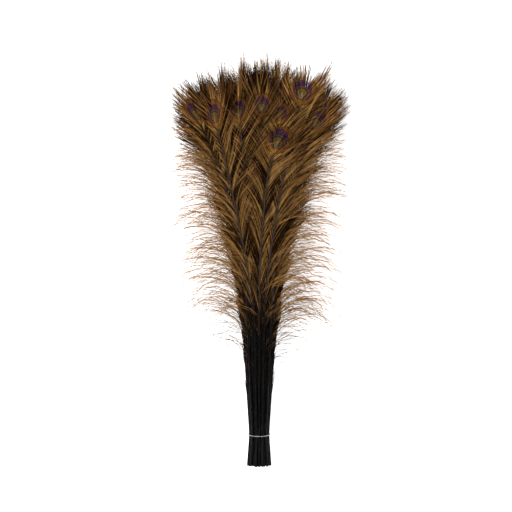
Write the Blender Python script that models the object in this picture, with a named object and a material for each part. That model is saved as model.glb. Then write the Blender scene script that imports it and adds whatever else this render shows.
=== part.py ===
"""A tied bundle of dyed peacock train feathers, lying on its side.

Fifty-five feathers stand quill by quill in a hexagonal packing where one elastic band holds them,
and fan out into a stack of flat vanes, one above the other, that rests on the surface.
Each feather is one closed loft: a round quill that turns into a thin shaft with a wide, paper-thin
vane on either side of it. Along the bundle is +Y, from the cut quills to the eyes; +Z is up.
"""

from math import radians, tan

import bpy
import numpy as np

# Along the feathers, in metres from the cut ends of the quills.
BAND_Y = 0.062
VANE_Y = 0.300
FIRST_BARBS_Y = 0.325
WIDEST_Y = 0.400
UPPER_VANE_Y = 0.560
LAST_Y = 0.830
EYE_TO_NECK = 0.045
EYE_TO_SHOULDER = 0.015
EYE_TO_TIP = 0.060

# The quill bunch: rows of quills from the lowest to the highest, and how far apart they sit.
ROWS = (3, 6, 7, 8, 7, 8, 7, 6, 3)
MIDDLE_ROW = 4
QUILL_RADIUS = 0.00237
BUNCH_HEIGHT = 0.0219
STATION_Y = (0.0, BAND_Y, 0.130, 0.215, VANE_Y)
COLUMN_PITCH = (0.00630, 0.00502, 0.00630, 0.00790, 0.00930)
ROW_PITCH = (0.00475, 0.00435)
CUT_SCATTER = 0.0012

# The stack of vanes: the height of the lowest plane and the step between planes, at each end.
PLANE_BASE = (0.00125, 0.00035)
PLANE_STEP = (0.00185, 0.00110)
VANE_HALF_THICKNESS = 0.0002

# A feather's sections have eight points. Radius of the shaft, and half the width of the vane.
SIDES = 8
SHAFT_RADIUS = (0.00230, QUILL_RADIUS, 0.00215, 0.00165, 0.00118, 0.00112,
                0.00105, 0.00080, 0.00060, 0.00040, 0.00025)
HALF_WIDTH = (0.002, 0.080, 0.103, 0.088, 0.066, 0.046, 0.012)

# Where the eyes lie in the fan: a rule for the hidden feathers, and places for the top ones.
COLUMN_TO_EYE = 0.0357
HIGHEST_EYE = 0.750
OUTER_EYE_DROP = 0.030
EYE_SCATTER = 0.062
OUTER_COLUMN = 3.5
RULE_BEND = 2.4
GOLDEN = 0.618034
PLACED_EYES = {  # (row, column): across, along, lean in degrees
    (6, 1.0): (0.0365, 0.740, 8.0),
    (6, 2.0): (0.1170, 0.702, 20.0),
    (7, -2.5): (-0.1250, 0.695, -27.0),
    (7, -1.5): (-0.0410, 0.699, -8.0),
    (7, -0.5): (0.0045, 0.710, 2.0),
    (7, 0.5): (0.0405, 0.691, 8.0),
    (7, 1.5): (0.1170, 0.755, 25.0),
    (7, 2.5): (0.1110, 0.677, 24.0),
    (8, -1.0): (-0.0880, 0.691, -14.0),
    (8, 0.0): (0.0350, 0.640, 20.0),
    (8, 1.0): (0.0835, 0.736, 14.0),
}
ROW_ORDER = {  # the top rows lie in an order of their own, lowest feather first
    7: (2, 4, 1, 5, 0, 3),
    8: (0, 2, 1),
}

# The elastic band round the quills.
BAND_RADIUS = 0.0009
BAND_GAP = 0.0003
BAND_POINTS = 36

BROWNS = ((0.090, 0.045, 0.016), (0.120, 0.062, 0.020), (0.070, 0.034, 0.014))
BAND_GREY = (0.42, 0.43, 0.45)


def clear_scene():
    for thing in list(bpy.data.objects):
        bpy.data.objects.remove(thing, do_unlink=True)


def finish(name, colour, roughness, metallic=0.0):
    """A Principled material of one colour."""
    material = bpy.data.materials.new(name)
    material.use_nodes = True
    shader = material.node_tree.nodes["Principled BSDF"]
    shader.inputs["Base Color"].default_value = (*colour, 1.0)
    shader.inputs["Roughness"].default_value = roughness
    shader.inputs["Metallic"].default_value = metallic
    return material


def quill_places():
    """(row, column) of each feather, in the order the vanes lie, from the floor up.

    Within a row every second quill comes first, so that vanes next to each other in the stack
    have their shafts at least a column apart.
    """
    places = []
    for row, count in enumerate(ROWS):
        every_second = (*range(0, count, 2), *range(1, count, 2))
        for quill in ROW_ORDER.get(row, every_second):
            places.append((row, quill - (count - 1) / 2))
    return places


def smooth(share):
    """0 to 1 with level ends."""
    share = np.clip(share, 0.0, 1.0)
    return share * share * (3.0 - 2.0 * share)


def plane_height(level, y):
    """Height of a feather's vane plane, straight along Y, for feather number level."""
    share = (y - VANE_Y) / (LAST_Y - VANE_Y)
    base = PLANE_BASE[0] + share * (PLANE_BASE[1] - PLANE_BASE[0])
    step = PLANE_STEP[0] + share * (PLANE_STEP[1] - PLANE_STEP[0])
    return base + level * step


def eye_place(level, row, column):
    """Where a feather's eye is across and along the fan, and the power of its shaft's bend."""
    start = column * COLUMN_PITCH[-1]
    slope = column * start_slope()
    if (row, column) in PLACED_EYES:
        across, along, lean = PLACED_EYES[row, column]
        length = along - VANE_Y
        bend = (tan(radians(lean)) - slope) * length / (across - start - slope * length)
        return across, along, bend
    scatter = (level * GOLDEN) % 1.0
    along = HIGHEST_EYE - OUTER_EYE_DROP * (column / OUTER_COLUMN) ** 2 - EYE_SCATTER * scatter
    return column * COLUMN_TO_EYE, along, RULE_BEND


def start_slope():
    """How fast the columns spread where the vanes begin."""
    return (COLUMN_PITCH[-1] - COLUMN_PITCH[-2]) / (STATION_Y[-1] - STATION_Y[-2])


def shaft_line(level, row, column):
    """Centres of a feather's stations, and the level directions across it there.

    Up to the vane a quill keeps its column while the columns spread; then its shaft bends
    outward by a power of the distance, so that it passes its eye's place at its own lean.
    """
    across, along, bend = eye_place(level, row, column)
    start = column * COLUMN_PITCH[-1]
    slope = column * start_slope()
    length = along - VANE_Y
    reach = across - start - slope * length
    y = np.array([*STATION_Y, FIRST_BARBS_Y, WIDEST_Y, UPPER_VANE_Y, along - EYE_TO_NECK,
                  along + EYE_TO_SHOULDER, along + EYE_TO_TIP])
    fanned = np.maximum(y - VANE_Y, 0.0)
    x = (column * np.interp(y, STATION_Y, COLUMN_PITCH)
         + slope * fanned + reach * (fanned / length) ** bend)
    turn = slope + reach * bend * (fanned / length) ** (bend - 1.0) / length
    turn = np.where(y > VANE_Y, turn, 0.0)
    sideways = np.stack([np.ones_like(turn), -turn], axis=1) / np.hypot(1.0, turn)[:, None]

    bunch = BUNCH_HEIGHT + (row - MIDDLE_ROW) * np.interp(y, (0.0, BAND_Y), ROW_PITCH)
    raised = smooth((y - BAND_Y) / (VANE_Y - BAND_Y))
    z = (1.0 - raised) * bunch + raised * plane_height(level, np.maximum(y, VANE_Y))
    y[0] += CUT_SCATTER * ((level * GOLDEN) % 1.0)
    return np.stack([x, y, z], axis=1), sideways


def feather_mesh(name, level, row, column):
    """One feather: eight-sided sections lofted along its shaft.

    A quill section is a round octagon. A vane section has its outer points pulled out to the
    vane's edges, the four points beside them at the vane's root, and a ridge above and below
    for the shaft. The lowest feather is flattened onto the floor.
    """
    centres, sideways = shaft_line(level, row, column)
    quills = len(centres) - len(HALF_WIDTH)
    radius = np.array(SHAFT_RADIUS)[:, None]
    angle = np.arange(SIDES) * (2.0 * np.pi / SIDES)
    out = radius * np.cos(angle)
    up = radius * np.sin(angle)
    edges, roots = [0, 4], [1, 3, 5, 7]
    out[quills:, edges] = np.outer(HALF_WIDTH, (1.0, -1.0))
    out[quills:, roots] = radius[quills:] * (1.0, -1.0, -1.0, 1.0)
    up[quills:, roots] = VANE_HALF_THICKNESS * np.array((1.0, 1.0, -1.0, -1.0))
    up[quills:, edges] = 0.0

    points = np.zeros((len(centres), SIDES, 3))
    points[:, :, :2] = centres[:, None, :2] + out[:, :, None] * sideways[:, None, :]
    points[:, :, 2] = centres[:, None, 2] + up
    points[quills:, :, 2] = plane_height(level, points[quills:, :, 1]) + up[quills:]
    if level == 0:
        points[quills:, :, 2] = np.maximum(up[quills:], 0.0) * 2.0

    ring = np.arange(SIDES)
    after = np.roll(ring, -1)
    faces = []
    for low in range(0, (len(centres) - 1) * SIDES, SIDES):
        high = low + SIDES
        faces += np.stack([low + ring, high + ring, high + after, low + after], axis=1).tolist()
    faces.append(ring.tolist())
    faces.append((ring[::-1] + (len(centres) - 1) * SIDES).tolist())
    mesh = bpy.data.meshes.new(name)
    mesh.from_pydata(points.reshape(-1, 3).tolist(), [], faces)
    mesh.shade_smooth()
    mesh.set_sharp_from_angle(angle=radians(40.0))
    return mesh


def band_curve(name):
    """The band's route: round the outermost quills, straight from each to the next.

    In each direction the quill that reaches furthest holds the band off by its own radius.
    """
    quills = np.array([(column * COLUMN_PITCH[1], BUNCH_HEIGHT + (row - MIDDLE_ROW) * ROW_PITCH[1])
                       for row, column in quill_places()])
    angle = (np.arange(BAND_POINTS) + 0.5) * (2.0 * np.pi / BAND_POINTS)
    direction = np.stack([np.cos(angle), np.sin(angle)], axis=1)
    furthest = quills[np.argmax(direction @ quills.T, axis=1)]
    route = furthest + (QUILL_RADIUS + BAND_GAP + BAND_RADIUS) * direction

    curve = bpy.data.curves.new(name, "CURVE")
    curve.dimensions = "3D"
    curve.bevel_depth = BAND_RADIUS
    curve.bevel_resolution = 1
    curve.use_fill_caps = True
    spline = curve.splines.new("POLY")
    spline.points.add(BAND_POINTS - 1)
    for point, (x, z) in zip(spline.points, route):
        point.co = (x, BAND_Y, z, 1.0)
    spline.use_cyclic_u = True
    return curve


def middle_of(things):
    """Middle of all the pieces, across and along."""
    corners = np.array([corner[:] for thing in things for corner in thing.bound_box])
    return (corners.min(axis=0) + corners.max(axis=0))[:2] / 2.0


def main():
    clear_scene()
    collection = bpy.data.collections.new("peacock_feather_bundle")
    bpy.context.scene.collection.children.link(collection)
    pieces = []
    for level, (row, column) in enumerate(quill_places()):
        name = f"feather_{level + 1:02d}"
        mesh = feather_mesh(name, level, row, column)
        mesh.materials.append(finish(f"{name}_brown", BROWNS[level % len(BROWNS)], 0.6))
        pieces.append(bpy.data.objects.new(name, mesh))
    band = band_curve("tie_band")
    band.materials.append(finish("tie_band_silver", BAND_GREY, 0.4, 0.6))
    pieces.append(bpy.data.objects.new("tie_band", band))
    for piece in pieces:
        collection.objects.link(piece)
    bpy.context.view_layer.update()

    # The lowest vane lies at height 0, so only the middle of the bundle is moved to the origin.
    origin = bpy.data.objects.new("bundle_origin", None)
    collection.objects.link(origin)
    for piece in pieces:
        piece.parent = origin
    x, y = middle_of(pieces)
    origin.location = (-x, -y, 0.0)


main()
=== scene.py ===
from math import pi, radians, sin

import bpy
import numpy as np
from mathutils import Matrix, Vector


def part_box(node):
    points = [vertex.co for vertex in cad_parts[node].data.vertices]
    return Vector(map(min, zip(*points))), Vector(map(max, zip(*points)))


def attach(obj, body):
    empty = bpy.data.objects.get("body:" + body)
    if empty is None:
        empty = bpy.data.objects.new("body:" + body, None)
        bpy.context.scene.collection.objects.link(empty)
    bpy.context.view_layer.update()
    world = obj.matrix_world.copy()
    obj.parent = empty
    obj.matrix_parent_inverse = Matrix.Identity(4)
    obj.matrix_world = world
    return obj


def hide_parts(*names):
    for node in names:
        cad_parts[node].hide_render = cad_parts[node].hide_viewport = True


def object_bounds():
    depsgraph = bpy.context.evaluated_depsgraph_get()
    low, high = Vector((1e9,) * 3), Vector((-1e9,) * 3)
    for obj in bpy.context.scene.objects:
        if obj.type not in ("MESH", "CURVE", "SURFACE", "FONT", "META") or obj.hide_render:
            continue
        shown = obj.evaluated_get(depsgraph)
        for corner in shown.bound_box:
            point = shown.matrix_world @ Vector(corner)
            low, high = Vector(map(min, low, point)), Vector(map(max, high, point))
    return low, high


# A tied bundle of dyed peacock train feathers that lies on its side. It is put together as the
# real one is: the shafts, the barbs on them, the band round the quills, and then the studio.
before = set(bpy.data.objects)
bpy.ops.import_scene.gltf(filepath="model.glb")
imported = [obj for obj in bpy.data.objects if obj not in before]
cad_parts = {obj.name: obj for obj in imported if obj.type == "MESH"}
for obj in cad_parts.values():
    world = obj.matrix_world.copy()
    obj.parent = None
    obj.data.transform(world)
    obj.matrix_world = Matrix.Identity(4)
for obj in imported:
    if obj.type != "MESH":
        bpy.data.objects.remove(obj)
cad_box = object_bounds()

# ------------------------------------------------------------------------------------------
# The shafts. Each feather has one horny shaft: a hollow round quill, cut square, that thins
# into a solid rod with a groove underneath and ends in the eye. Dye has turned it near black.

FEATHERS = sorted(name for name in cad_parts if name.startswith("feather_"))
CUTS = 256                # planes that a feather's solid is cut by, to find where it runs
TRIM = 0.0002             # the first and last cut lie this far inside the solid
FINE, BROAD = 5, 27       # cuts that the line of a quill and of a fanned shaft is averaged over
FAN_FROM, FAN_OVER = 0.27, 0.10   # where the stems part and fan out, from the cut ends
EYE_TO_TIP = 0.060        # the eye's middle lies this far before the tip of the solid
TIP_HALF_WIDTH = 0.012    # half the width of the solid's blunt tip
SHAFT_STATIONS = 46
SHAFT_SIDES = 10
THINNEST = 0.00022        # least radius of a shaft
GROOVE_DEPTH = 0.22       # share of the radius
GROOVE_WIDTH = 0.55       # radians
# The hollow cut end, from its bottom out and over its rim: depth, and share of the radius.
CUT_END = ((0.0070, 0.50), (0.0006, 0.62), (0.0, 0.74), (0.0001, 0.92), (0.0008, 1.0))
HOLLOW_SHARE = 0.9        # rings with a smaller share of the radius are inside the quill


def smooth(share):
    """0 to 1 with level ends: share squared times three less twice the share."""
    share = np.clip(share, 0.0, 1.0)
    return share * share * (3.0 - 2.0 * share)


def averaged(values, window):
    """The average over a window of neighbours. Past its ends the line is turned about them."""
    half = window // 2
    before = 2.0 * values[0] - values[half:0:-1]
    after = 2.0 * values[-1] - values[-2:-half - 2:-1]
    return np.convolve(np.concatenate([before, values, after]), np.full(window, 1.0 / window), "valid")


def run_of(node):
    """Where a feather's shaft and the edges of its vane lie, read from its solid.

    The solid is cut by planes square to the bundle. The highest point of a cut is on the shaft,
    and the points furthest left and right are on the vane's edges.
    """
    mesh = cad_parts[node].data
    corners = np.zeros(len(mesh.vertices) * 3)
    mesh.vertices.foreach_get("co", corners)
    corners = corners.reshape(-1, 3)
    ends = np.zeros(len(mesh.edges) * 2, np.int32)
    mesh.edges.foreach_get("vertices", ends)
    start, end = corners[ends.reshape(-1, 2)].transpose(1, 0, 2)
    y = np.linspace(corners[:, 1].min() + TRIM, corners[:, 1].max() - TRIM, CUTS)
    step = end - start
    step[np.abs(step[:, 1]) < 1e-9, 1] = np.nan
    share = (y[:, None] - start[:, 1]) / step[:, 1]
    crossed = (share >= 0.0) & (share <= 1.0)
    x = np.where(crossed, start[:, 0] + share * step[:, 0], np.nan)
    z = np.where(crossed, start[:, 2] + share * step[:, 2], np.nan)
    on_shaft = x[np.arange(CUTS), np.nanargmax(z, axis=1)]
    middle = (np.nanmax(z, axis=1) + np.nanmin(z, axis=1)) / 2.0
    radius = (np.nanmax(z, axis=1) - np.nanmin(z, axis=1)) / 2.0
    fanned = smooth((y - y[0] - FAN_FROM) / FAN_OVER)
    run = {"y": y, "left": np.nanmin(x, axis=1), "right": np.nanmax(x, axis=1)}
    run["x"] = (1.0 - fanned) * averaged(on_shaft, FINE) + fanned * averaged(on_shaft, BROAD)
    run["z"] = (1.0 - fanned) * averaged(middle, FINE) + fanned * averaged(middle, BROAD)
    run["radius"] = np.maximum(averaged(radius, FINE), THINNEST)
    lean = np.arctan((run["x"][-1] - run["x"][-BROAD]) / (y[-1] - y[-BROAD]))
    run["eye_y"] = y[-1] + TRIM - TIP_HALF_WIDTH * abs(sin(lean)) - EYE_TO_TIP
    return run


def frame_at(run, y):
    """Points of the shaft at y, and the directions along it, across it and up from it there."""
    line = np.stack([np.interp(y, run["y"], run["x"]), y, np.interp(y, run["y"], run["z"])], axis=-1)
    slope = np.gradient(np.stack([run["x"], run["y"], run["z"]]), axis=1)
    along = np.stack([np.interp(y, run["y"], part) for part in slope], axis=-1)
    along /= np.linalg.norm(along, axis=-1, keepdims=True)
    across = np.stack([along[..., 1], -along[..., 0], np.zeros_like(y)], axis=-1)
    across /= np.linalg.norm(across, axis=-1, keepdims=True)
    return line, along, across, np.cross(across, along)


def shaft_surface(run):
    """Rings round the shaft from the bottom of the hollow cut end to the eye, and their runs.

    A ring's radius is the shaft's, less a bell-shaped groove underneath where the vane is. The
    first rings run back out of the hollow quill and over its rim.
    """
    y = np.linspace(run["y"][0], run["eye_y"], SHAFT_STATIONS)
    depth, share = np.array(CUT_END).T
    y = np.concatenate([y[0] + depth, y[1:]])
    share = np.concatenate([share, np.ones(SHAFT_STATIONS - 1)])
    line, _, across, up = frame_at(run, y)
    angle = np.arange(SHAFT_SIDES) * (2.0 * pi / SHAFT_SIDES)
    grooved = smooth((y - run["y"][0] - FAN_FROM) / FAN_OVER)
    groove = GROOVE_DEPTH * np.exp(-(((angle - 1.5 * pi) / GROOVE_WIDTH) ** 2))
    radius = (share * np.interp(y, run["y"], run["radius"]))[:, None]
    radius = radius * (1.0 - grooved[:, None] * groove)
    rings = (line[:, None] + (radius * np.cos(angle))[..., None] * across[:, None]
             + (radius * np.sin(angle))[..., None] * up[:, None])
    return rings, (y - run["y"][0]) / (run["eye_y"] - run["y"][0]), share < HOLLOW_SHARE


def loft_faces(rings, sides):
    """Four-sided faces between rings of points, and a fan at each end to a point in its middle."""
    ring = np.arange(sides)
    after = np.roll(ring, -1)
    low = np.arange(rings - 1)[:, None] * sides
    quads = np.stack([low + ring, low + sides + ring, low + sides + after, low + after], axis=-1)
    last = (rings - 1) * sides
    middles = rings * sides + np.arange(2)
    fans = np.concatenate([np.stack([np.full(sides, middles[0]), ring, after], axis=-1),
                           np.stack([np.full(sides, middles[1]), last + after, last + ring], axis=-1)])
    return quads.reshape(-1, 4).tolist() + fans.tolist()


# ------------------------------------------------------------------------------------------
# The barbs. They grow from both sides of the shaft: long, loose and wispy below, arching out
# and hanging over, then shorter and closer, until a dense fan of flat ones makes up the eye.

BARB_STEPS = 5
SHARE = np.linspace(0.0, 1.0, BARB_STEPS + 1)
TURN_POWER = 1.3          # above 1, a barb turns more towards its tip

# Barbs are sparse on the quill, loose up the shaft, closer in the neck below the eye, and closest
# in the eye. The first two start this far from the cut ends, and the others this far below the
# eye's middle.
SPARSE, SPARSE_FROM = 1, 0.17
LOOSE_SPACING, LOOSE_FROM = 0.0022, 0.245
NECK_SPACING, NECK = 0.0015, 0.090
EYE_SPACING, EYE_ZONE = 0.00062, 0.045
LATE_START = 0.03         # the loose barbs of a row may start this much later
LAST_ROOT = 0.001         # the last barb grows this far below the eye's middle
ROOT_SHIFT = 0.3          # share of the spacing that a root lies off its even place

# A lock is a few neighbouring barbs that cling together. Its barbs are pulled along the shaft to
# its middle, by a share that depends on whether it is a bright, a dark or a stray lock.
LOCK = 3
BRIGHT_PULL, DARK_PULL, STRAY_PULL = 0.86, 0.25, 0.60
ODD_LOCKS = 0.12          # share of the locks that don't take turns in being bright and dark
ODD_BARBS, ODD_LOW_DOWN = 0.15, 0.20   # share of barbs unlike their lock, and how many more low down
LOW_FROM, LOW_OVER = 0.47, 0.12        # how far from the cut ends low down is

# Angles to the shaft at root and tip, in degrees, and lengths, by the root's distance from the
# cut ends: first of barbs that lie along the bundle, then of strays that arch out and hang over.
ANGLE_AT = (0.17, 0.25, 0.33, 0.45, 0.58, 0.66)
ROOT_ANGLE = (5.0, 7.0, 11.0, 16.0, 22.0, 25.0)
TIP_ANGLE = (8.0, 15.0, 30.0, 48.0, 60.0, 64.0)
LYING_LENGTH = (0.055, 0.062, 0.095, 0.115, 0.115, 0.105)
STRAY_ROOT_ANGLE = (22.0, 28.0, 34.0, 38.0, 37.0, 33.0)
STRAY_TIP_ANGLE = (150.0, 162.0, 155.0, 130.0, 92.0, 66.0)
STRAY_LENGTH = 0.180
# The same for barbs of the neck and the eye, by the root's distance below the eye's middle.
EYE_AT = (0.0, 0.020, 0.045, 0.090)
EYE_ROOT_ANGLE = (1.0, 27.0, 42.0, 28.0)
EYE_TIP_ANGLE = (1.0, 18.0, 34.0, 60.0)
EYE_LENGTH = (0.078, 0.081, 0.084, 0.100)
# How far these angles sway, in degrees: with the lock, with the barb, with the feather's own
# waves, with the waves that all feathers share, and with the barb where it isn't loose too.
ROOT_SWAY = (4.5, 2.5, 2.5, 3.0, 1.5)
TIP_SWAY = (13.0, 6.0, 5.0, 9.0, 4.5)
LYING_SWAY = 0.28         # share of the sway that barbs have which lie along the bundle
STIFF_BELOW_EYE, STIFF_OVER = 0.03, 0.06   # barbs are stiff in the eye and go loose below this

FEW, MANY = 0.06, 0.35    # share of the locks that stray, inside the bundle and at its sides
# Half the width of the bundle's stems, where it starts to grow, and by how much for each metre.
BUNCH_HALF_WIDTH, SPREADS_FROM, SPREADING = 0.035, 0.30, 0.17

# How far barbs may reach across the vane, as shares of its width, and how much chance adds to it
# or takes from it. The eye's barbs are free.
STRAY_ROOM, LYING_ROOM, FREE_ROOM = 2.4, 1.1, 9.0
ROOM_LUCK = 0.2
NECK_REACH, LYING_REACH = 0.2, -0.28   # how much longer barbs are at the bundle's sides
STRAY_LONGEST, STRAY_SHORTER = 1.15, 0.6   # a stray's greatest length, and what chance takes off
WISPS = 0.14              # share of the eye's barbs that reach well past the others
WISP_SHORTEST, WISP_LONGER = 1.2, 0.75     # their least length, and what chance adds
SIDE_SPARE, TOP_SPARE = 0.014, 0.032   # how far barbs stand out past the bundle's solids
FLOOR_GAP, RISE_SPARE = 0.0006, 0.009  # and how far they stay off the floor and stand up past them
BRIGHT_RISE, LOCK_RISE, BARB_RISE = 0.0002, 0.0008, 0.0004   # of tips, the last two by chance
HANG = 0.10               # a loose barb's tip hangs down by this share of its length

BARB_WIDTH, STRAY_WIDTH, EYE_BARB_WIDTH = 0.0010, 0.0007, 0.0014
BARB_HEIGHT = 0.0005
GOLDEN_WIDTH, DARK_WIDTH, WISP_WIDTH = 0.75, 1.2, 0.65   # shares of these
LYING_THINS, STRAY_THINS = 0.82, 0.42   # share of its width that a barb loses by its tip
BROAD_THINS, WISP_THINS = 0.85, 0.50    # the same for the eye's barbs
# The dark strands are painted shade for the shadowed gaps between the bright locks.
GOLDEN_STRAND, DARK_STRAND = 0.74, 0.18   # shade of a barb, from 0, dark, to 1, light
STRAY_STRAND, WISP_STRAND = 0.68, 0.62
LOCK_SHADE, BARB_SHADE = 0.08, 0.10       # how far chance shifts the shade of a lock and a barb
# Hidden feathers get painted shade, for the shadow of the feathers lying over them.
HIDDEN_PAINTED_SHADE, TIP_SHADE = 0.34, 0.26        # how much darker hidden feathers and middle tips are

# Feathers whose upper vane is turned about its shaft, in degrees, from this far below the eye,
# and lifted or cut short to show the eyes beside it. Those turned away show their plain backs.
ROLL_FROM, ROLL_OVER = 0.130, 0.090
ROLL = {"feather_53": 45.0, "feather_51": -56.0, "feather_49": 25.0, "feather_48": 80.0,
        "feather_55": 8.0, "feather_54": 0.0, "feather_47": 10.0, "feather_52": 12.0,
        "feather_50": 35.0, "feather_46": 50.0, "feather_42": 20.0}
ANY_ROLL = 28.0           # the others turn by up to this much either way
ROLL_FADES = 0.3          # the turn fades out at this distance across
LIFT_FROM, LIFT_OVER = 0.040, 0.025
LIFT = {"feather_47": 0.012, "feather_50": 0.006, "feather_42": 0.006, "feather_54": 0.007,
        "feather_52": 0.002}
TIP_SHARE = {"feather_55": 0.60, "feather_52": 0.75, "feather_47": 0.80}
TURNED_AWAY = ("feather_37", "feather_40", "feather_41", "feather_44", "feather_45")
NO_EYE = 300.0            # the eye's markings are shifted this far off them, in mm
ANY_EYE_SIZE = 0.8, 1.0
EYE_SIZE = {"feather_54": 1.0, "feather_55": 1.0, "feather_52": 0.72, "feather_47": 0.80,
            "feather_42": 0.85, "feather_53": 0.95, "feather_51": 0.95, "feather_49": 0.85}

FUZZ = 66                 # short dark hairs left on each quill
FUZZ_TOP, FUZZ_RUN = 0.34, 0.22   # distance of the highest from the cut ends, and down from it
FLAT_FUZZ = 0.8           # share of them that lies flat on the quills, and the rest stand out
FLAT_LENGTH, STANDING_LENGTH = (0.020, 0.055), (0.004, 0.012)
FLAT_WIDTH, STANDING_WIDTH = 0.0015, 0.0005
FIRST_SEED = 7000         # of the first feather's chance
OFF_FLOOR = 0.0002        # least height of a barb's skin

axis = (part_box("tie_band")[0][0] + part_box("tie_band")[1][0]) / 2.0


def root_row(eye, dice):
    """Distances from the cut end of the barbs' roots on one side. eye is that of its middle."""
    start = LOOSE_FROM + dice.uniform(0.0, LATE_START)
    loose = np.arange(start, eye - NECK, LOOSE_SPACING)
    neck = np.arange(eye - NECK, eye - EYE_ZONE, NECK_SPACING)
    dense = np.arange(eye - EYE_ZONE, eye - LAST_ROOT, EYE_SPACING)
    sparse = start - (start - SPARSE_FROM) * dice.random(SPARSE) ** 2.0
    roots = np.concatenate([np.sort(sparse), loose, neck, dense])
    shift = dice.uniform(-ROOT_SHIFT, ROOT_SHIFT, len(roots))
    return roots + shift * np.where(roots > eye - EYE_ZONE, EYE_SPACING, NECK_SPACING)


def barb_lines(root, along, across, side, first, last, length):
    """Lines of barbs as (barb, point, xyz).

    A barb leaves the shaft at its first angle and turns to its last one by a power of the share
    of its length. Its line is the running sum of the directions on the way.
    """
    middle = (SHARE[1:] + SHARE[:-1]) / 2.0
    angle = first[:, None] + (last - first)[:, None] * middle ** TURN_POWER
    step = (np.cos(angle)[..., None] * along[:, None]
            + (side[:, None] * np.sin(angle))[..., None] * across[:, None])
    line = np.concatenate([np.zeros((len(root), 1, 3)), np.cumsum(step, axis=1)], axis=1)
    return root[:, None] + line * (length / BARB_STEPS)[:, None, None]


def fitted_length(run, root, along, across, side, first, last, length, spare):
    """The barbs' lengths, cut back where they would leave their room.

    A barb may go as far out as spare times the vane's width beside it or further up, and as far
    as the walls at the bundle's sides and top. The share of its way out that this leaves, at the
    point where it is least, scales its length, and this is done three times.
    """
    low, high = cad_box[0][0] - SIDE_SPARE, cad_box[1][0] + SIDE_SPARE
    top = cad_box[1][1] + TOP_SPARE
    wall = np.where(side > 0.0, high, low)[:, None]
    edge = np.stack([run["x"] - run["left"], run["right"] - run["x"]])
    edge = np.maximum.accumulate(edge[:, ::-1], axis=1)[:, ::-1]
    for _ in range(3):
        line = barb_lines(root, along, across, side, first, last, length)
        x, y = line[:, 1:, 0], line[:, 1:, 1]
        out = side[:, None] * (x - np.interp(y, run["y"], run["x"]))
        room = np.where(side[:, None] > 0.0, np.interp(y, run["y"], edge[1]),
                        np.interp(y, run["y"], edge[0]))
        to_wall = np.abs(wall - root[:, :1]) / np.maximum(side[:, None] * (x - root[:, :1]), 1e-4)
        to_wall = np.minimum(to_wall, (top - root[:, 1:2]) / np.maximum(y - root[:, 1:2], 1e-4))
        share = np.minimum(spare[:, None] * room / np.maximum(out, 1e-4), to_wall).min(axis=1)
        length = length * np.clip(share, 0.2, 1.0)
    return length


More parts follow.
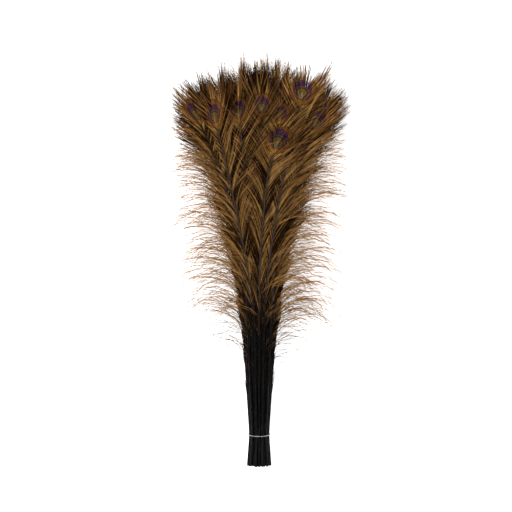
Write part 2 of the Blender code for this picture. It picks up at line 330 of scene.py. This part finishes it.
def feather_barbs(run, name, dice):
    """Lines, directions faced, widths, heights and markings of all the barbs of one feather."""
    # Roots on the left side, then on the right, and the chance that each barb and lock has.
    eye_distance = run["eye_y"] - run["y"][0]
    rows = [root_row(eye_distance, dice), root_row(eye_distance, dice)]
    roots = np.concatenate(rows)
    side = np.concatenate([np.full(len(rows[0]), -1.0), np.full(len(rows[1]), 1.0)])
    order = np.concatenate([np.arange(len(row)) for row in rows])
    below_eye = eye_distance - roots
    in_neck = below_eye < NECK
    _, lock = np.unique(order // LOCK + np.where(side > 0.0, 1000, 0), return_inverse=True)
    locks = lock.max() + 1
    lock_middle = np.bincount(lock, roots) / np.bincount(lock)
    lock_luck = dice.normal(0.0, 1.0, (4, locks))[:, lock]
    luck = dice.normal(0.0, 1.0, (4, len(roots)))
    phase = dice.uniform(0.0, 2.0 * pi, 4)
    wave = np.sin(roots * 150.0 + phase[0] + side) + np.sin(roots * 61.0 + phase[1] + 2.0 * side)
    flow = np.sin(roots * 70.0 + 1.3 * side) + 0.6 * np.sin(roots * 157.0 + 2.0 * side)

    # Strays are most common where a side of the feather faces out of the bundle, which is where
    # outward nears 1: the distance from the bundle's axis over half its width there.
    line, along, across, _ = frame_at(run, roots + run["y"][0])
    outward = side * (line[:, 0] - axis)
    outward /= BUNCH_HALF_WIDTH + SPREADING * np.maximum(roots - SPREADS_FROM, 0.0)
    outside = smooth(outward)
    stray = (dice.random(locks)[lock] < FEW + (MANY - FEW) * outside ** 2) & (below_eye > NECK)
    stray |= roots < LOOSE_FROM
    loose = smooth((below_eye - STIFF_BELOW_EYE) / STIFF_OVER)
    low_down = smooth((LOW_FROM - roots) / LOW_OVER)

    def angles(eye_angle, stray_angle, lying_angle, sway, row):
        """Angles from the shaft by the root's place, plus chance times the sway of each kind."""
        by_root = np.where(stray, np.interp(roots, ANGLE_AT, stray_angle),
                           np.interp(roots, ANGLE_AT, lying_angle))
        by_root = np.where(in_neck, np.interp(below_eye, EYE_AT, eye_angle), by_root)
        loosely = (sway[0] * lock_luck[row] + sway[1] * luck[row] + sway[2] * wave + sway[3] * flow)
        wild = loose * np.where(stray, 1.0, LYING_SWAY)
        return radians(1.0) * (by_root + (wild * loosely + sway[4] * luck[row]))

    first = angles(EYE_ROOT_ANGLE, STRAY_ROOT_ANGLE, ROOT_ANGLE, ROOT_SWAY, 0)
    last = angles(EYE_TIP_ANGLE, STRAY_TIP_ANGLE, TIP_ANGLE, TIP_SWAY, 1)

    # Lengths: by the root's place, then by chance, then cut back to the room there is.
    length = np.where(in_neck, np.interp(below_eye, EYE_AT, EYE_LENGTH),
                      np.interp(roots, ANGLE_AT, LYING_LENGTH))
    length *= 1.0 + np.where(in_neck, NECK_REACH, LYING_REACH) * outside
    stray_share = STRAY_LONGEST - STRAY_SHORTER * dice.random(locks)[lock] ** 1.3
    length = np.where(stray, STRAY_LENGTH * stray_share, length)
    wisp = (below_eye < EYE_ZONE) & (dice.random(len(roots)) < WISPS)
    wisp_share = WISP_SHORTEST + WISP_LONGER * dice.random(len(roots)) ** 1.5
    length *= np.where(wisp, wisp_share, 1.0 + 0.08 * luck[2])
    length *= 1.0 - 0.10 * loose * np.abs(lock_luck[2])
    length *= np.interp(below_eye, (0.02, 0.07), (TIP_SHARE.get(name, 1.0), 1.0))
    spare = np.where(stray, STRAY_ROOM, LYING_ROOM)
    spare = spare * dice.uniform(1.0 - ROOM_LUCK, 1.0 + ROOM_LUCK, len(roots))
    spare = np.where(below_eye > EYE_ZONE, spare, FREE_ROOM)
    length = fitted_length(run, line, along, across, side, first, last, length, spare)
    points = barb_lines(line, along, across, side, first, last, length)

    # Barbs of one lock draw together along the shaft, the more so towards their tips.
    # Locks take turns in being bright and dark, and the dark ones are painted shade for the gaps.
    bright = (lock % 2 == 0) ^ (dice.random(locks)[lock] < ODD_LOCKS)
    pull = np.where(stray, STRAY_PULL, np.where(bright, BRIGHT_PULL, DARK_PULL))
    pull *= loose * (lock_middle[lock] - roots) * (1.0 - 0.5 * low_down)
    points += (pull[:, None] * SHARE)[..., None] * along[:, None]

    # The vane's plane, and how far each barb rises or hangs from it.
    slant = np.polyfit(run["y"][CUTS // 2:], run["z"][CUTS // 2:], 1)[0]
    points[..., 2] = line[:, None, 2] + slant * (points[..., 1] - line[:, None, 1])
    rise = loose * (np.where(bright, BRIGHT_RISE, 0.0) + LOCK_RISE * lock_luck[3]) + BARB_RISE * luck[3]
    hang = loose * HANG * length * smooth(line[:, 2] / 0.10)
    points[..., 2] += rise[:, None] * SHARE - hang[:, None] * SHARE ** 2

    # Places on the vane, measured from the eye's middle before the vane is turned: p along it
    # and q across it. The turn fades out with the distance across.
    eye, eye_along, eye_across, eye_up = (part[0] for part in frame_at(run, np.array([run["eye_y"]])))
    offset = points - eye
    p = offset @ eye_along
    q = offset @ eye_across
    roll = ROLL.get(name, dice.uniform(-ANY_ROLL, ANY_ROLL))
    roll = radians(roll) * smooth((p + ROLL_FROM) / ROLL_OVER)
    turn_q = q * np.clip(1.0 - np.abs(q) / ROLL_FADES, 0.0, 1.0)
    points += (turn_q * (np.cos(roll) - 1.0))[..., None] * eye_across
    points += (turn_q * np.sin(roll))[..., None] * eye_up
    facing = np.cos(roll)[..., None] * eye_up - np.sin(roll)[..., None] * eye_across
    points[..., 2] += LIFT.get(name, 0.0) * smooth((p + LIFT_FROM) / LIFT_OVER)
    points[..., 2] = np.clip(points[..., 2], FLOOR_GAP, cad_box[1][2] + RISE_SPARE)
    size = EYE_SIZE.get(name, dice.uniform(*ANY_EYE_SIZE)) * 0.001
    away = NO_EYE if name in TURNED_AWAY else 0.0
    marks = np.stack([p / size - away, q / size, np.broadcast_to(SHARE, p.shape)], axis=-1)

    # The shade of each barb: its lock's, less painted shade on feathers hidden deep in the bundle and
    # on barbs inside it rather than at its sides, and less again for the tips in its middle.
    depth = 0.0 if name in ROLL else HIDDEN_PAINTED_SHADE
    tone_and_painted_shade = dice.normal(0.0, 0.02) - depth * (1.0 - 0.85 * outside * np.where(in_neck, 0.35, 1.0))
    middle = 1.0 - smooth(np.abs(line[:, 0] - axis) / 0.10)
    tone_and_painted_shade -= TIP_SHADE * smooth((EYE_ZONE - below_eye) / 0.02) * middle
    golden = bright ^ (dice.random(len(roots)) < ODD_BARBS + ODD_LOW_DOWN * low_down)
    inside = 1.0 - outside
    strand = np.where(golden, GOLDEN_STRAND - 0.06 * inside * low_down, DARK_STRAND - 0.10 * inside)
    strand += tone_and_painted_shade + LOCK_SHADE * lock_luck[0] + BARB_SHADE * luck[3]
    strand = np.where(wisp, WISP_STRAND + BARB_SHADE * luck[3], strand)
    strand = np.where(stray, STRAY_STRAND + 0.25 * strand, strand)

    # Widths: loose barbs taper from a narrow root to their tip, and the eye's are broad below.
    dense = smooth((EYE_ZONE + 0.01 - below_eye) / 0.02)[:, None]
    thinning = np.where(stray, STRAY_THINS, LYING_THINS)[:, None] * SHARE ** 1.7
    loose_taper = (0.55 + 0.45 * smooth(SHARE / 0.2)) * (1.0 - thinning)
    eye_taper = 1.0 - np.where(wisp, WISP_THINS, BROAD_THINS)[:, None] * smooth((SHARE - 0.35) / 0.5)
    lying_width = BARB_WIDTH * np.where(golden, GOLDEN_WIDTH - 0.15 * low_down, DARK_WIDTH)
    loose_width = np.where(stray, STRAY_WIDTH, lying_width)[:, None]
    width = (1.0 - dense) * loose_width * loose_taper + dense * EYE_BARB_WIDTH * eye_taper
    width *= ((1.0 + 0.15 * luck[1]).clip(0.6, 1.4) * np.where(wisp, WISP_WIDTH, 1.0))[:, None]
    height = BARB_HEIGHT * (1.0 - 0.45 * dense) * (1.0 - 0.7 * SHARE)
    return points, facing, width, height, marks, strand.clip(0.0, 1.0), roots / eye_distance


def quill_fuzz(run, dice):
    """Short hairs left on the quill above the band, in the form that feather_barbs gives.

    Most lie flat along the quills, and the others stand out from them.
    """
    roots = FUZZ_TOP - FUZZ_RUN * dice.random(FUZZ) ** 1.5
    side = dice.choice([-1.0, 1.0], FUZZ)
    line, along, across, up = frame_at(run, roots + run["y"][0])
    flat = dice.random(FUZZ) < FLAT_FUZZ
    splay = 1.0 + 1.2 * smooth((roots - 0.22) / 0.06)

    def drawn(for_flat, for_standing, flat_share=1.0):
        """A draw for each hair, from one range if it lies flat and from another if it doesn't."""
        return np.where(flat, flat_share * dice.uniform(*for_flat, FUZZ),
                        dice.uniform(*for_standing, FUZZ))

    first = radians(1.0) * drawn((1.0, 8.0), (10.0, 40.0), splay)
    last = radians(1.0) * drawn((2.0, 10.0), (20.0, 90.0), splay)
    length = drawn(FLAT_LENGTH, STANDING_LENGTH)
    turned = side[:, None] * across + np.where(flat, 0.0, dice.uniform(-0.2, 1.0, FUZZ))[:, None] * up
    points = barb_lines(line, along, turned, np.ones(FUZZ), first, last, length)
    points[..., 2] = np.maximum(points[..., 2], FLOOR_GAP)
    facing = np.broadcast_to(up[:, None], points.shape)
    width = np.where(flat, FLAT_WIDTH, STANDING_WIDTH)[:, None] * (1.0 - 0.6 * SHARE)
    marks = np.broadcast_to(np.array([-NO_EYE, 0.0, 0.0]), points.shape)
    return points, facing, width, 0.6 * width, marks, np.zeros(FUZZ), roots * 0.3


def barb_corners(points, facing, width, height):
    """Three corners round each point of a barb but its last, which is the tip.

    Two lie half a width to the sides and a third of the height below the point, and one is a
    ridge two thirds of the height above it.
    """
    ahead = np.gradient(points, axis=1)
    ahead /= np.linalg.norm(ahead, axis=-1, keepdims=True)
    sideways = np.cross(ahead, facing)
    sideways /= np.linalg.norm(sideways, axis=-1, keepdims=True)
    above = np.cross(sideways, ahead)
    half = sideways * width[..., None] / 2.0
    base = points - above * height[..., None] / 3.0
    rings = np.stack([base - half, base + half, points + above * height[..., None] * (2.0 / 3.0)], axis=2)
    corners = np.concatenate([rings[:, :-1].reshape(len(points), -1, 3), points[:, -1:]], axis=1)
    corners[..., 2] = np.maximum(corners[..., 2], OFF_FLOOR)
    return corners


def barb_faces():
    """Triangles of one barb: its root, the three sides between rings, and the point at its tip."""
    corner = np.arange(3)
    after = np.roll(corner, -1)
    low = np.arange(BARB_STEPS - 1)[:, None] * 3
    lower = np.stack([low + corner, low + 3 + corner, low + 3 + after], axis=-1).reshape(-1, 3)
    upper = np.stack([low + corner, low + 3 + after, low + after], axis=-1).reshape(-1, 3)
    ring = (BARB_STEPS - 1) * 3
    tip = np.stack([ring + corner, np.full(3, ring + 3), ring + after], axis=-1)
    return np.concatenate([corner[None], lower, upper, tip])


def barb_map(barbs):
    """A map with one upright strip for each barb, in four rows. The shaft has the band above them."""
    rows = 4
    columns = -(-barbs // rows)
    column, row = np.arange(barbs) % columns, np.arange(barbs) // columns
    u = np.concatenate([np.tile([0.05, 0.95, 0.5], BARB_STEPS), [0.5]])
    v = np.concatenate([np.repeat(SHARE[:-1], 3), [1.0]])
    v[2] = 0.03
    return np.stack([(column[:, None] + u) / columns,
                     (row[:, None] + 0.02 + 0.96 * v) * (0.9 / rows)], axis=-1)


def feather(name, level):
    """One feather: its shaft and all its barbs in one mesh, with the markings as attributes."""
    dice = np.random.default_rng(FIRST_SEED + level)
    run = run_of(name)
    rings, shaft_run, hollow = shaft_surface(run)
    ends = np.stack([rings[0].mean(axis=0), rings[-1].mean(axis=0)])
    shaft_points = np.concatenate([rings.reshape(-1, 3), ends])
    shaft_count = len(shaft_points)
    shaft_faces = loft_faces(len(rings), SHAFT_SIDES)

    parts = [feather_barbs(run, name, dice), quill_fuzz(run, dice)]
    points, facing, width, height, marks, strand, barb_run = (np.concatenate(p) for p in zip(*parts))
    barbs = len(points)
    barb_points = barb_corners(points, facing, width, height)
    faces = barb_faces() + (np.arange(barbs) * barb_points.shape[1])[:, None, None] + shaft_count

    mesh = bpy.data.meshes.new(name + "_vane")
    mesh.from_pydata(np.concatenate([shaft_points, barb_points.reshape(-1, 3)]).tolist(), [],
                     shaft_faces + faces.reshape(-1, 3).tolist())
    mesh.shade_smooth()
    slots = np.zeros(len(mesh.polygons), np.int32)
    slots[:len(shaft_faces)] = 1
    mesh.polygons.foreach_set("material_index", slots)

    # Every corner of a barb takes the marking of its point on the barb's line.
    spread = np.concatenate([np.repeat(marks[:, :-1], 3, axis=1), marks[:, -1:]], axis=1)
    on_shaft = np.zeros((shaft_count, 3))
    on_shaft[:len(rings) * SHAFT_SIDES, 2] = np.repeat(hollow, SHAFT_SIDES)
    on_shaft[-2, 2] = 1.0
    vane = mesh.attributes.new("vane", "FLOAT_VECTOR", "POINT")
    vane.data.foreach_set("vector", np.concatenate([on_shaft, spread.reshape(-1, 3)]).ravel())
    per_barb = barb_points.shape[1]
    for title, on_rings, on_barbs in (("strand", np.full(len(rings), dice.random()), strand),
                                      ("run", shaft_run, barb_run)):
        values = np.concatenate([np.repeat(on_rings, SHAFT_SIDES), on_rings[[0, -1]],
                                 np.repeat(on_barbs, per_barb)])
        mesh.attributes.new(title, "FLOAT", "POINT").data.foreach_set("value", values)

    ring_u = (np.arange(len(rings)) + 1.0) / (len(rings) + 1.0)
    ring_v = 0.91 + 0.08 * np.arange(SHAFT_SIDES) / (SHAFT_SIDES - 1)
    shaft_map = np.stack(np.meshgrid(ring_u, ring_v, indexing="ij"), axis=-1).reshape(-1, 2)
    places = np.concatenate([shaft_map, [[0.0, 0.95], [1.0, 0.95]], barb_map(barbs).reshape(-1, 2)])
    corners = np.zeros(len(mesh.loops), np.int32)
    mesh.loops.foreach_get("vertex_index", corners)
    mesh.uv_layers.new(name="OFBake").uv.foreach_set("vector", places[corners].ravel())

    piece = bpy.data.objects.new(name + "_plumage", mesh)
    bpy.context.scene.collection.objects.link(piece)
    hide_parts(name)
    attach(piece, "root")
    return piece, run


feathers, runs = zip(*(feather(name, level) for level, name in enumerate(FEATHERS)))

# ------------------------------------------------------------------------------------------
# The finish of the feathers. Barbs are brown dye over the bird's own pattern, so the gold, the
# violet ring and the dull heart of the eye still show. Shafts are near black and a little glossy.
# The barbs' dark strands and the darker hidden feathers are painted shade, and the shafts' lighter streaks
# painted sheen.


def link(tree, source, target):
    tree.links.new(source, target)


def blank_material(name):
    """A material with a Principled shader, its node tree and that shader."""
    material = bpy.data.materials.new(name)
    material.use_nodes = True
    return material, material.node_tree, material.node_tree.nodes["Principled BSDF"]


def worked(tree, operation, *inputs):
    """A Math node's result. An input is a number or another node's socket."""
    node = tree.nodes.new("ShaderNodeMath")
    node.operation = operation
    for socket, value in zip(node.inputs, inputs):
        if isinstance(value, (int, float)):
            socket.default_value = value
        else:
            link(tree, value, socket)
    return node.outputs[0]


def attribute(tree, title):
    node = tree.nodes.new("ShaderNodeAttribute")
    node.attribute_name = title
    return node


def ramp(tree, value, stops):
    """A colour ramp's colour at value, from (place, colour) stops."""
    node = tree.nodes.new("ShaderNodeValToRGB")
    elements = node.color_ramp.elements
    elements.remove(elements[1])
    for index, (place, colour) in enumerate(stops):
        element = elements[0] if index == 0 else elements.new(place)
        element.position = place
        element.color = (*colour, 1.0)
    link(tree, value, node.inputs[0])
    return node.outputs[0]


def mixed(tree, share, first, second, blend="MIX"):
    """Two colours mixed by share, which is a number or a socket, as are the colours."""
    node = tree.nodes.new("ShaderNodeMix")
    node.data_type = "RGBA"
    node.blend_type = blend
    for socket, value in ((node.inputs[0], share), (node.inputs[6], first), (node.inputs[7], second)):
        if isinstance(value, (int, float)):
            socket.default_value = value
        elif isinstance(value, tuple):
            socket.default_value = (*value, 1.0)
        else:
            link(tree, value, socket)
    return node.outputs[2]


def ellipse(tree, place, middle, size):
    """How far a place is from middle, as a share of the half axes in size."""
    shift = tree.nodes.new("ShaderNodeVectorMath")
    shift.operation = "SUBTRACT"
    link(tree, place, shift.inputs[0])
    shift.inputs[1].default_value = (*middle, 0.0)
    scale = tree.nodes.new("ShaderNodeVectorMath")
    scale.operation = "MULTIPLY"
    link(tree, shift.outputs[0], scale.inputs[0])
    scale.inputs[1].default_value = (1.0 / size[0], 1.0 / size[1], 0.0)
    length = tree.nodes.new("ShaderNodeVectorMath")
    length.operation = "LENGTH"
    link(tree, scale.outputs[0], length.inputs[0])
    return length.outputs["Value"]


def between(tree, value, low, high):
    """0 where value is low, 1 where it is high, and smooth between."""
    node = tree.nodes.new("ShaderNodeMapRange")
    node.interpolation_type = "SMOOTHSTEP"
    link(tree, value, node.inputs["Value"])
    node.inputs["From Min"].default_value = low
    node.inputs["From Max"].default_value = high
    return node.outputs["Result"]


def grain(tree, scale, stretch, detail=3.0):
    """Noise in object coordinates, stretched by the mapping's scale."""
    place = tree.nodes.new("ShaderNodeTexCoord")
    mapping = tree.nodes.new("ShaderNodeMapping")
    mapping.inputs["Scale"].default_value = stretch
    noise = tree.nodes.new("ShaderNodeTexNoise")
    noise.inputs["Scale"].default_value = scale
    noise.inputs["Detail"].default_value = detail
    link(tree, place.outputs["Object"], mapping.inputs["Vector"])
    link(tree, mapping.outputs[0], noise.inputs["Vector"])
    return noise.outputs["Fac"]


def raised(tree, shader, height, strength, distance):
    node = tree.nodes.new("ShaderNodeBump")
    node.inputs["Strength"].default_value = strength
    node.inputs["Distance"].default_value = distance
    link(tree, height, node.inputs["Height"])
    link(tree, node.outputs[0], shader.inputs["Normal"])


def greys(*stops):
    """Stops of a ramp from (place, grey) pairs."""
    return [(place, (grey, grey, grey)) for place, grey in stops]


def placed(tree):
    """A point's marking: its place on the vane from the eye's middle, and its share of the barb."""
    marking = attribute(tree, "vane").outputs["Vector"]
    split = tree.nodes.new("ShaderNodeSeparateXYZ")
    link(tree, marking, split.inputs[0])
    return marking, split.outputs[2]


# The eye's parts as ellipses: middle and half axes in mm, along the feather and then across it.
RINGS, HEART = ((0.0, 0.0), (21.5, 20.0)), ((-5.5, 0.0), (12.4, 14.6))
NOTCH, GOLD_PATCH = ((-13.0, 0.0), (8.0, 4.0)), ((-25.0, 0.0), (7.0, 4.5))
RAGGED = 0.10             # how far a strand's shade shifts the edges of the rings
# Dye by the strand's shade, whose dark end is painted shade for the gaps between bright locks, and
# the colours of the rings, from half their distance out, and of the heart, from its middle out.
DYE_AND_GAP_SHADE = ((0.0, (0.006, 0.0014, 0.0002)), (0.33, (0.018, 0.0062, 0.0008)), (0.5, (0.085, 0.038, 0.007)),
       (0.70, (0.27, 0.138, 0.038)), (1.0, (0.44, 0.25, 0.085)))
REDDISH, ROOT_BROWN = (0.38, 0.165, 0.055), (0.018, 0.011, 0.008)
RING_COLOURS = (
    (0.30, (0.048, 0.020, 0.044)), (0.42, (0.062, 0.021, 0.042)), (0.465, (0.100, 0.024, 0.030)),
    (0.495, (0.13, 0.045, 0.025)), (0.512, (0.24, 0.105, 0.026)), (0.54, (0.18, 0.075, 0.012)),
    (0.555, (0.030, 0.012, 0.003)), (0.57, (0.18, 0.080, 0.012)), (0.66, (0.15, 0.065, 0.010)),
    (0.68, (0.022, 0.009, 0.003)), (0.71, (0.10, 0.045, 0.008)))
HEART_COLOURS = (
    (0.0, (0.14, 0.080, 0.030)), (0.30, (0.09, 0.050, 0.018)), (0.58, (0.13, 0.075, 0.026)),
    (0.70, (0.040, 0.020, 0.005)), (0.84, (0.032, 0.016, 0.004)), (0.91, (0.11, 0.065, 0.014)),
    (0.97, (0.14, 0.085, 0.020)), (1.0, (0.09, 0.040, 0.025)))
NOTCH_COLOUR, GOLD = (0.15, 0.12, 0.045), (0.36, 0.17, 0.02)
LOWER_SHADE = ((0.30, (0.35, 0.33, 0.32)), (0.38, (0.75, 0.72, 0.70)), (0.46, (1.0, 1.0, 1.0)))
BARBULES = 1500.0         # the grain's size on the barbs, per metre

barb_material, tree, shader = blank_material("dyed_barbs_and_painted_shade")
marking, to_tip = placed(tree)
strand = attribute(tree, "strand").outputs["Fac"]
ragged = worked(tree, "MULTIPLY", worked(tree, "SUBTRACT", strand, 0.5), RAGGED)
outer = worked(tree, "ADD", ellipse(tree, marking, *RINGS), ragged)
inner = worked(tree, "ADD", ellipse(tree, marking, *HEART), ragged)
outside_rings = between(tree, outer, 1.46, 1.40)

# Loose barbs: golden dyed strands and dark ones, painted shade for the gaps between the locks,
# redder to their tips, dark at the root, and darker low down.
red_share = worked(tree, "MULTIPLY", between(tree, to_tip, 0.30, 1.0), between(tree, strand, 0.35, 0.80))
colour = mixed(tree, worked(tree, "MULTIPLY", red_share, 0.6), ramp(tree, strand, DYE_AND_GAP_SHADE), REDDISH)
colour = mixed(tree, between(tree, to_tip, 0.14, 0.0), colour, ROOT_BROWN)
lower = ramp(tree, attribute(tree, "run").outputs["Fac"], LOWER_SHADE)
colour = mixed(tree, 1.0, colour, lower, "MULTIPLY")

# The eye over them: rings, heart with its notch, and the gold patch where the shaft enters.
heart = mixed(tree, between(tree, ellipse(tree, marking, *NOTCH), 1.15, 0.75),
              ramp(tree, inner, HEART_COLOURS), NOTCH_COLOUR)
colour = mixed(tree, outside_rings, colour, ramp(tree, worked(tree, "MULTIPLY", outer, 0.5), RING_COLOURS))
colour = mixed(tree, between(tree, inner, 1.02, 0.98), colour, heart)
gilt = worked(tree, "MULTIPLY", between(tree, ellipse(tree, marking, *GOLD_PATCH), 1.2, 0.4), 0.7)
colour = mixed(tree, gilt, colour, GOLD)

# The eye's strands are lighter and darker too, painted shade included, and barbules make a fine grain
# everywhere.
light_and_dark = ramp(tree, strand, greys((0.0, 0.25), (0.45, 0.60), (0.75, 1.1)))
colour = mixed(tree, outside_rings, colour, mixed(tree, 1.0, colour, light_and_dark, "MULTIPLY"))
barbules = grain(tree, 1.0, (BARBULES, BARBULES, BARBULES), 2.0)
grained = mixed(tree, 1.0, colour, ramp(tree, barbules, greys((0.3, 0.45), (0.7, 1.4))), "MULTIPLY")
link(tree, mixed(tree, 0.35, colour, grained), shader.inputs["Base Color"])
shader.inputs["Roughness"].default_value = 0.65
shader.inputs["Specular IOR Level"].default_value = 0.03
raised(tree, shader, barbules, 0.35, 0.0003)

# Horn by its share of the way from the cut end to the eye: black stems, then brown shafts.
HORN = ((0.0, (0.0032, 0.0030, 0.0029)), (0.14, (0.0016, 0.0015, 0.0015)),
        (0.40, (0.0010, 0.0010, 0.0010)), (0.52, (0.026, 0.021, 0.020)),
        (0.80, (0.046, 0.035, 0.030)), (0.93, (0.075, 0.045, 0.020)), (1.0, (0.16, 0.09, 0.028)))
STREAK_SHEEN, PITH = (0.09, 0.09, 0.10), (0.10, 0.08, 0.06)

shaft_material, tree, shader = blank_material("dyed_shaft_and_painted_sheen")
_, hollow_end = placed(tree)
streaks = grain(tree, 1.0, (1400.0, 22.0, 1400.0), 3.0)
horn = ramp(tree, attribute(tree, "run").outputs["Fac"], HORN)
# The streaks are ridges with their own bump and gloss; the lighter bluish grey mixed onto them is painted
# sheen.
horn = mixed(tree, between(tree, streaks, 0.45, 0.75), horn, mixed(tree, 0.20, horn, STREAK_SHEEN))
link(tree, mixed(tree, hollow_end, horn, PITH), shader.inputs["Base Color"])
shader.inputs["Specular IOR Level"].default_value = 0.04
gloss = worked(tree, "ADD", worked(tree, "MULTIPLY", streaks, 0.35), 0.24)
link(tree, gloss, shader.inputs["Roughness"])
raised(tree, shader, streaks, 0.4, 0.0003)

for piece in feathers:
    piece.data.materials.append(barb_material)
    piece.data.materials.append(shaft_material)

# ------------------------------------------------------------------------------------------
# The band. A loop of thin silver-grey elastic cord, twisted from three strands and pulled tight
# round the quills, so it runs straight from one outer quill to the next and round its corner.

BAND_STATIONS = 540       # sections along the loop
BAND_SIDES = 12
BAND_DIRECTIONS = 720     # directions in which the furthest quill is looked for
BEDDED = 0.92             # the cord beds a little way into the quills
STRANDS = 3
STRAND_DEPTH = 0.16       # of the grooves between strands, as a share of the cord's radius
TWISTS = 60               # grooves that pass one side of the cord in one turn of the loop
BAND_SAG = 0.0013         # it has slipped towards the cut ends on top

band_low, band_high = (np.array(corner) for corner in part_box("tie_band"))
band_y = (band_low[1] + band_high[1]) / 2.0
band_radius = (band_high[1] - band_low[1]) / 2.0


def band_route():
    """Middle of the cord round the quills, as points at even distances.

    In each direction the quill that reaches furthest holds the cord off by its radius and the
    cord's. The route is the chain of those points, measured along its length.
    """
    quills = np.array([[np.interp(band_y, run["y"], run["x"]), np.interp(band_y, run["y"], run["z"]),
                        np.interp(band_y, run["y"], run["radius"])] for run in runs])
    angle = np.arange(BAND_DIRECTIONS) * (2.0 * pi / BAND_DIRECTIONS)
    direction = np.stack([np.cos(angle), np.sin(angle)], axis=1)
    furthest = quills[np.argmax(direction @ quills[:, :2].T + quills[:, 2], axis=1)]
    route = furthest[:, :2] + (furthest[:, 2:] + band_radius * BEDDED) * direction
    route = np.concatenate([route, route[:1]])
    length = np.concatenate([[0.0], np.cumsum(np.linalg.norm(np.diff(route, axis=0), axis=1))])
    even = np.arange(BAND_STATIONS) * (length[-1] / BAND_STATIONS)
    return np.stack([np.interp(even, length, route[:, 0]), np.interp(even, length, route[:, 1])], axis=1)


def band_surface():
    """The cord's surface: a round section with a lobe for each strand, turning as it goes round."""
    route = band_route()
    middle = (route.max(axis=0) + route.min(axis=0)) / 2.0
    ahead = np.roll(route, -1, axis=0) - np.roll(route, 1, axis=0)
    ahead /= np.linalg.norm(ahead, axis=1, keepdims=True)
    outward = np.stack([ahead[:, 1], -ahead[:, 0]], axis=1)
    share = np.arange(BAND_STATIONS)[:, None] / BAND_STATIONS
    angle = np.arange(BAND_SIDES) * (2.0 * pi / BAND_SIDES)
    lobes = np.abs(np.cos(STRANDS / 2.0 * (angle + 2.0 * pi * TWISTS / STRANDS * share)))
    radius = band_radius * (1.0 - STRAND_DEPTH + STRAND_DEPTH * lobes)
    height = (route[:, 1] - middle[1]) / (route[:, 1].max() - middle[1])
    y = band_y - BAND_SAG * height[:, None] + radius * np.sin(angle)
    out = (radius * np.cos(angle))[..., None] * outward[:, None]
    return np.stack([route[:, None, 0] + out[..., 0], y, route[:, None, 1] + out[..., 1]], axis=-1)


surface = band_surface()
station, corner = np.arange(BAND_STATIONS)[:, None], np.arange(BAND_SIDES)
next_station = (station + 1) % BAND_STATIONS
next_corner = (corner + 1) % BAND_SIDES
band_faces = np.stack([station * BAND_SIDES + corner, station * BAND_SIDES + next_corner,
                       next_station * BAND_SIDES + next_corner, next_station * BAND_SIDES + corner],
                      axis=-1)
band_mesh = bpy.data.meshes.new("tie_band_cord")
band_mesh.from_pydata(surface.reshape(-1, 3).tolist(), [], band_faces.reshape(-1, 4).tolist())
band_mesh.shade_smooth()
band = bpy.data.objects.new("tie_band_cord", band_mesh)
bpy.context.scene.collection.objects.link(band)
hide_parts("tie_band")
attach(band, "root")

band_material, tree, shader = blank_material("silver_elastic")
threads = grain(tree, 1.0, (2600.0, 900.0, 2600.0), 3.0)
link(tree, ramp(tree, threads, ((0.3, (0.12, 0.12, 0.13)), (0.7, (0.42, 0.43, 0.46)))),
     shader.inputs["Base Color"])
link(tree, worked(tree, "ADD", worked(tree, "MULTIPLY", threads, 0.4), 0.2), shader.inputs["Roughness"])
shader.inputs["Metallic"].default_value = 0.35
raised(tree, shader, threads, 0.5, 0.0003)
band_mesh.materials.append(band_material)

# ------------------------------------------------------------------------------------------
# The studio: a plain pale floor, soft light from large lamps overhead, and a camera that looks
# straight down on the bundle from 2.4 m.

CAMERA_HEIGHT = 2.4
CAMERA_LENS = 84.3
FROM_BAND = -0.0063       # the camera's place across, from the band's middle
FROM_CUT_ENDS = 0.4156    # and along, from the cut ends

floor_mesh = bpy.data.meshes.new("floor")
floor_corners = [(-6.0, -6.0, 0.0), (6.0, -6.0, 0.0), (6.0, 6.0, 0.0), (-6.0, 6.0, 0.0)]
floor_mesh.from_pydata(floor_corners, [], [(0, 1, 2, 3)])
floor = bpy.data.objects.new("floor", floor_mesh)
bpy.context.scene.collection.objects.link(floor)
floor_material, tree, shader = blank_material("pale_floor")
shader.inputs["Base Color"].default_value = (0.92, 0.92, 0.92, 1.0)
shader.inputs["Emission Color"].default_value = (1.0, 1.0, 1.0, 1.0)
shader.inputs["Emission Strength"].default_value = 0.85
shader.inputs["Roughness"].default_value = 0.9
shader.inputs["Specular IOR Level"].default_value = 0.1
floor_mesh.materials.append(floor_material)

world = bpy.data.worlds.new("studio")
world.use_nodes = True
world.node_tree.nodes["Background"].inputs["Color"].default_value = (1.0, 1.0, 1.0, 1.0)
world.node_tree.nodes["Background"].inputs["Strength"].default_value = 0.25
bpy.context.scene.world = world


def lamp(name, place, size, power):
    """A square soft lamp that faces the middle of the bundle."""
    light = bpy.data.lights.new(name, "AREA")
    light.size = size
    light.energy = power
    lit = bpy.data.objects.new(name, light)
    lit.location = place
    x, y, z = np.array([0.0, 0.05, 0.05]) - np.array(place)
    lit.rotation_euler = (np.arctan2(np.hypot(x, y), -z), 0.0, np.arctan2(x, -y) + pi)
    bpy.context.scene.collection.objects.link(lit)


lamp("key_lamp", (-0.9, 0.9, 2.3), 0.7, 85.0)
lamp("fill_lamp", (1.4, -0.3, 2.0), 1.4, 25.0)

lens = bpy.data.cameras.new("camera")
lens.lens = CAMERA_LENS
lens.sensor_width = 36.0
lens.clip_end = 50.0
camera = bpy.data.objects.new("camera", lens)
camera.location = (axis + FROM_BAND, cad_box[0][1] + FROM_CUT_ENDS, CAMERA_HEIGHT)
bpy.context.scene.collection.objects.link(camera)
bpy.context.scene.camera = camera
bpy.context.scene.view_settings.view_transform = "Standard"
